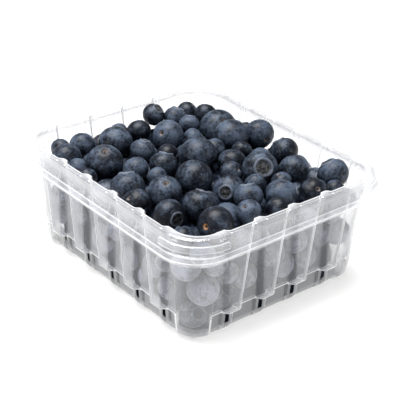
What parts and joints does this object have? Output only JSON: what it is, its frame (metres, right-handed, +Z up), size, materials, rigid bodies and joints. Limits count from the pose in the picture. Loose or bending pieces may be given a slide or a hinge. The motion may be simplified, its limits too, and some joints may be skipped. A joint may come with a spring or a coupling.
{
  "type": "punnet of blueberries",
  "caption": "Open clear plastic punnet with ribbed walls, a skirted flange rim, vent slots and a stepped foot, heaped with loose round blueberries.",
  "frame": {"origin": "middle of the punnet's flat underside, on the surface it stands on", "axes": "+Z up; X along the short four-rib sides, Y along the long five-rib sides; the front, a short side, faces -Y"},
  "size_m": [0.1164, 0.1332, 0.0556],
  "materials": {
    "clear_plastic": "clear, slightly milky, glossy",
    "berry_skin": "dark blue skin with a pale waxy bloom"
  },
  "bodies": {
    "root": {"punnet": "clear_plastic", "berries": "berry_skin"}
  },
  "joints": []
}
